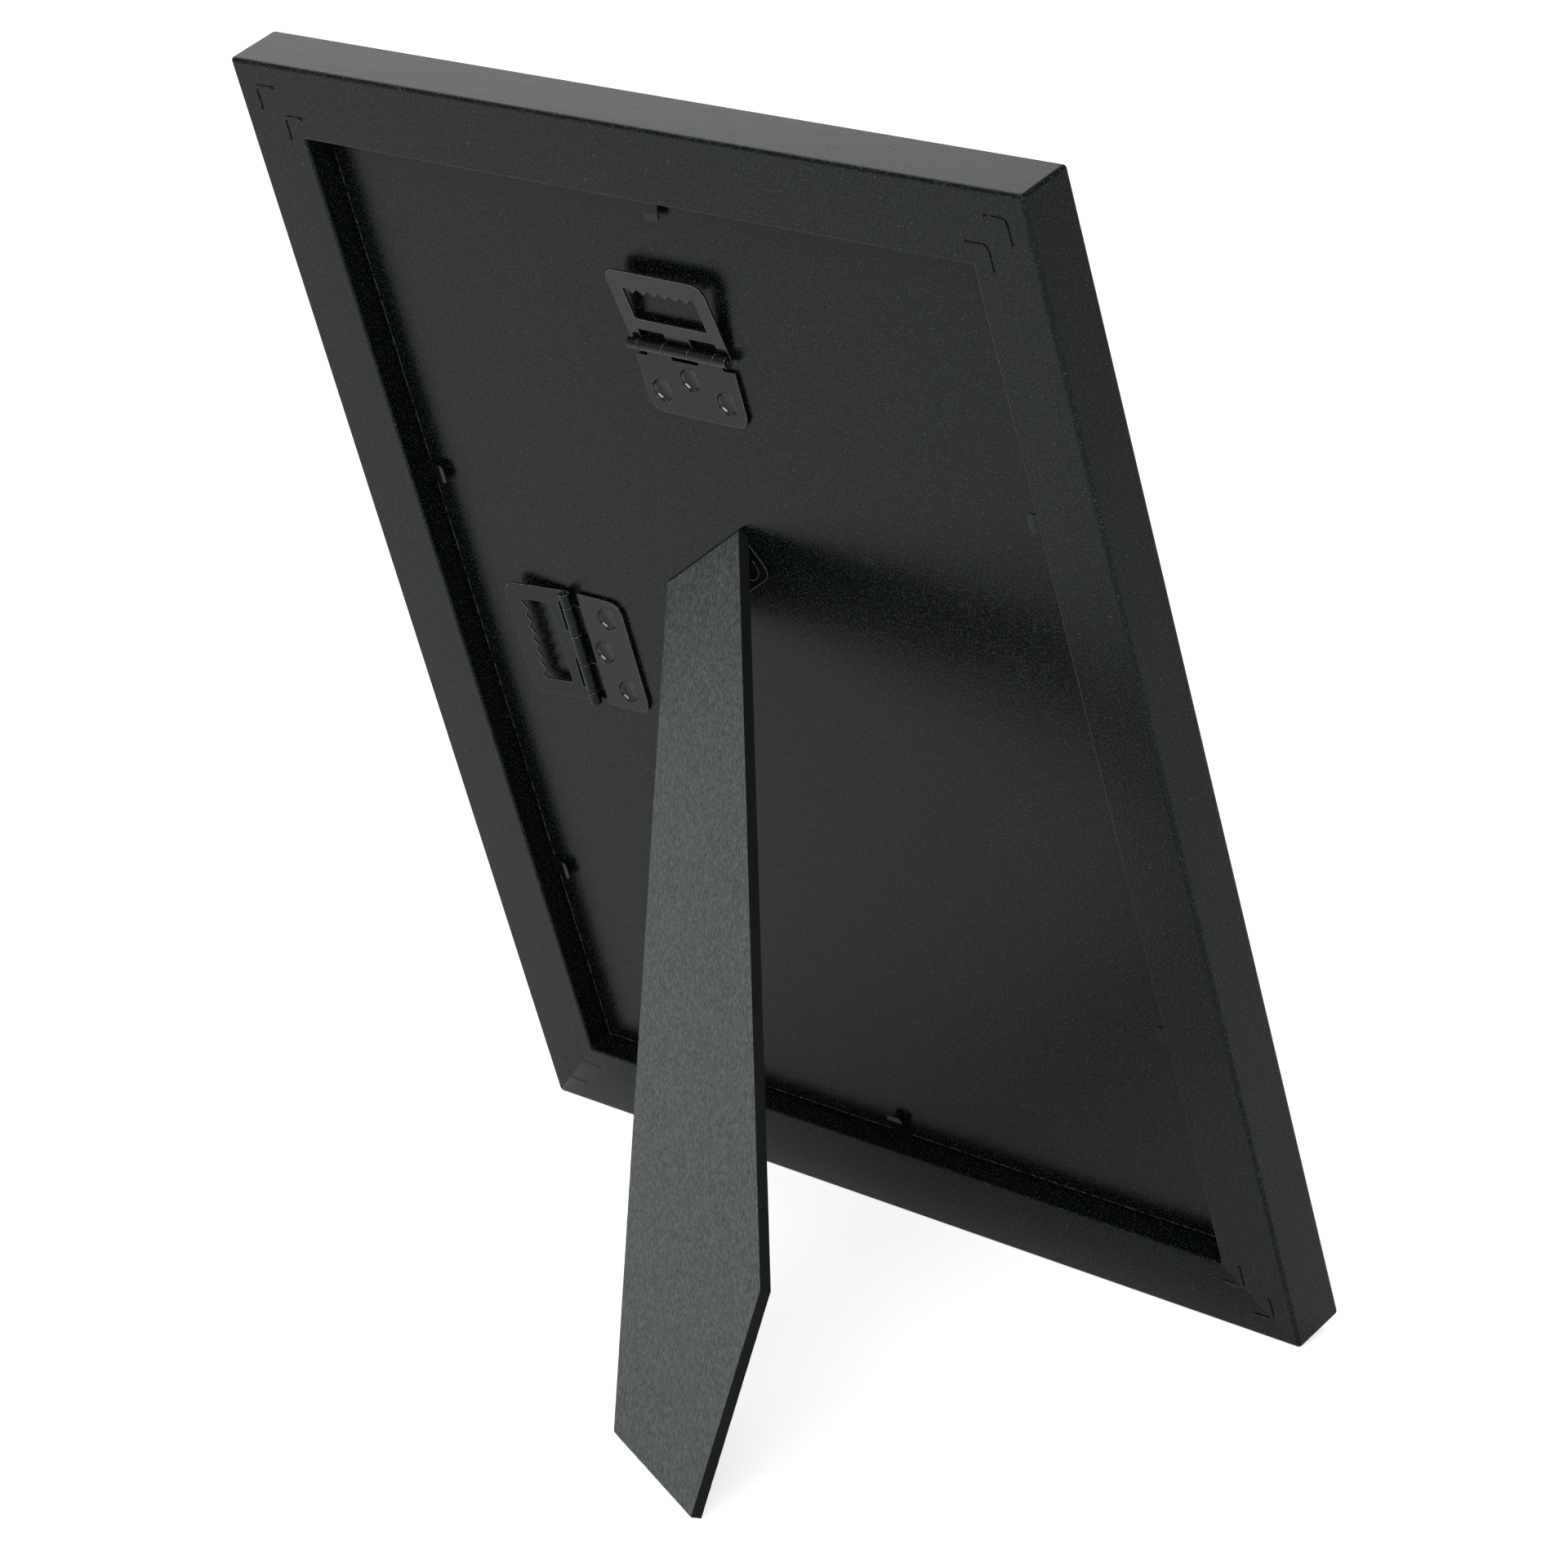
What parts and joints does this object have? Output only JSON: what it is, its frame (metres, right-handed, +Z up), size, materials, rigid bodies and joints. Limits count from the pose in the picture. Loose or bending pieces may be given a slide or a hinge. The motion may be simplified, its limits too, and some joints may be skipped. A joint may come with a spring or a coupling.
{
  "type": "photo frame",
  "caption": "Black wooden photo frame that leans on a slanted hinged strut, upright or sideways, with swinging saw-tooth hangers and bent tabs that hold its hardboard back.",
  "frame": {"origin": "on the floor, at the middle of the box that holds the standing frame and its strut", "axes": "+Z up, +X to the right seen from the front, +Y from the picture's front towards the strut"},
  "size_m": [0.242, 0.1632, 0.2841],
  "materials": {
    "painted_wood": "satin black paint",
    "hardboard": "black hardboard, matt",
    "strut_board": "black hardboard with a fibrous matt face",
    "black_steel": "black coated steel, semi-gloss",
    "clear_glass": "clear picture glass",
    "plain_paper": "uncoated white paper, blank"
  },
  "bodies": {
    "frame": {"rail_bottom": "painted_wood", "rail_right": "painted_wood", "rail_top": "painted_wood", "rail_left": "painted_wood", "v_nail_left_bottom_inner": "black_steel", "v_nail_left_bottom_outer": "black_steel", "v_nail_bottom_right_inner": "black_steel", "v_nail_bottom_right_outer": "black_steel", "v_nail_right_top_inner": "black_steel", "v_nail_right_top_outer": "black_steel", "v_nail_top_left_inner": "black_steel", "v_nail_top_left_outer": "black_steel", "glass": "clear_glass", "picture_sheet": "plain_paper", "back_board": "hardboard", "tab_root_bottom": "black_steel", "tab_root_right_lower": "black_steel", "tab_root_right_upper": "black_steel", "tab_root_top": "black_steel", "tab_root_left_upper": "black_steel", "tab_root_left_lower": "black_steel", "hanger_top_fixed_leaf": "black_steel", "hanger_top_pin": "black_steel", "hanger_top_rivet_1": "black_steel", "hanger_top_rivet_2": "black_steel", "hanger_top_rivet_3": "black_steel", "hanger_left_fixed_leaf": "black_steel", "hanger_left_pin": "black_steel", "hanger_left_rivet_1": "black_steel", "hanger_left_rivet_2": "black_steel", "hanger_left_rivet_3": "black_steel", "easel_board_leaf": "black_steel", "easel_board_rivet_1": "black_steel", "easel_board_rivet_2": "black_steel", "easel_pin": "black_steel"},
    "strut": {"easel_strut": "strut_board", "easel_strut_leaf": "black_steel", "easel_strut_rivet_1": "black_steel", "easel_strut_rivet_2": "black_steel"},
    "top_saw_leaf": {"hanger_top_saw_leaf": "black_steel"},
    "left_saw_leaf": {"hanger_left_saw_leaf": "black_steel"},
    "bottom_tab": {"tab_bottom": "black_steel"},
    "right_lower_tab": {"tab_right_lower": "black_steel"},
    "right_upper_tab": {"tab_right_upper": "black_steel"},
    "top_tab": {"tab_top": "black_steel"},
    "left_upper_tab": {"tab_left_upper": "black_steel"},
    "left_lower_tab": {"tab_left_lower": "black_steel"}
  },
  "joints": [
    {"name": "strut_fold", "type": "hinge", "parent": "frame", "child": "strut", "pos_m": [0.00846, -0.0216, 0.16718], "axis": [-0.831, 0.1617, 0.5323], "range_deg": [0, 41.2]},
    {"name": "top_hanger_swing", "type": "hinge", "parent": "frame", "child": "top_saw_leaf", "pos_m": [0, -0.00391, 0.22539], "axis": [-1, 0, 0], "range_deg": [-8.6, 169.4]},
    {"name": "left_hanger_swing", "type": "hinge", "parent": "frame", "child": "left_saw_leaf", "pos_m": [0.0647, -0.03037, 0.13832], "axis": [0, 0.2907, 0.9568], "range_deg": [-6.6, 171.4]},
    {"name": "bottom_tab_bend", "type": "hinge", "parent": "frame", "child": "bottom_tab", "pos_m": [0.00031, -0.06766, 0.01963], "axis": [-1, 0, 0], "range_deg": [0, 80]},
    {"name": "right_lower_tab_bend", "type": "hinge", "parent": "frame", "child": "right_lower_tab", "pos_m": [-0.1019, -0.05071, 0.0754], "axis": [0, 0.2907, 0.9568], "range_deg": [0, 80]},
    {"name": "right_upper_tab_bend", "type": "hinge", "parent": "frame", "child": "right_upper_tab", "pos_m": [-0.1019, -0.01216, 0.20228], "axis": [0, 0.2907, 0.9568], "range_deg": [0, 80]},
    {"name": "top_tab_bend", "type": "hinge", "parent": "frame", "child": "top_tab", "pos_m": [-0.00328, 0.00642, 0.26343], "axis": [1, 0, 0], "range_deg": [0, 80]},
    {"name": "left_upper_tab_bend", "type": "hinge", "parent": "frame", "child": "left_upper_tab", "pos_m": [0.1019, -0.01946, 0.17827], "axis": [0, -0.2907, -0.9568], "range_deg": [0, 80]},
    {"name": "left_lower_tab_bend", "type": "hinge", "parent": "frame", "child": "left_lower_tab", "pos_m": [0.1019, -0.05235, 0.07001], "axis": [0, -0.2907, -0.9568], "range_deg": [0, 80]}
  ]
}
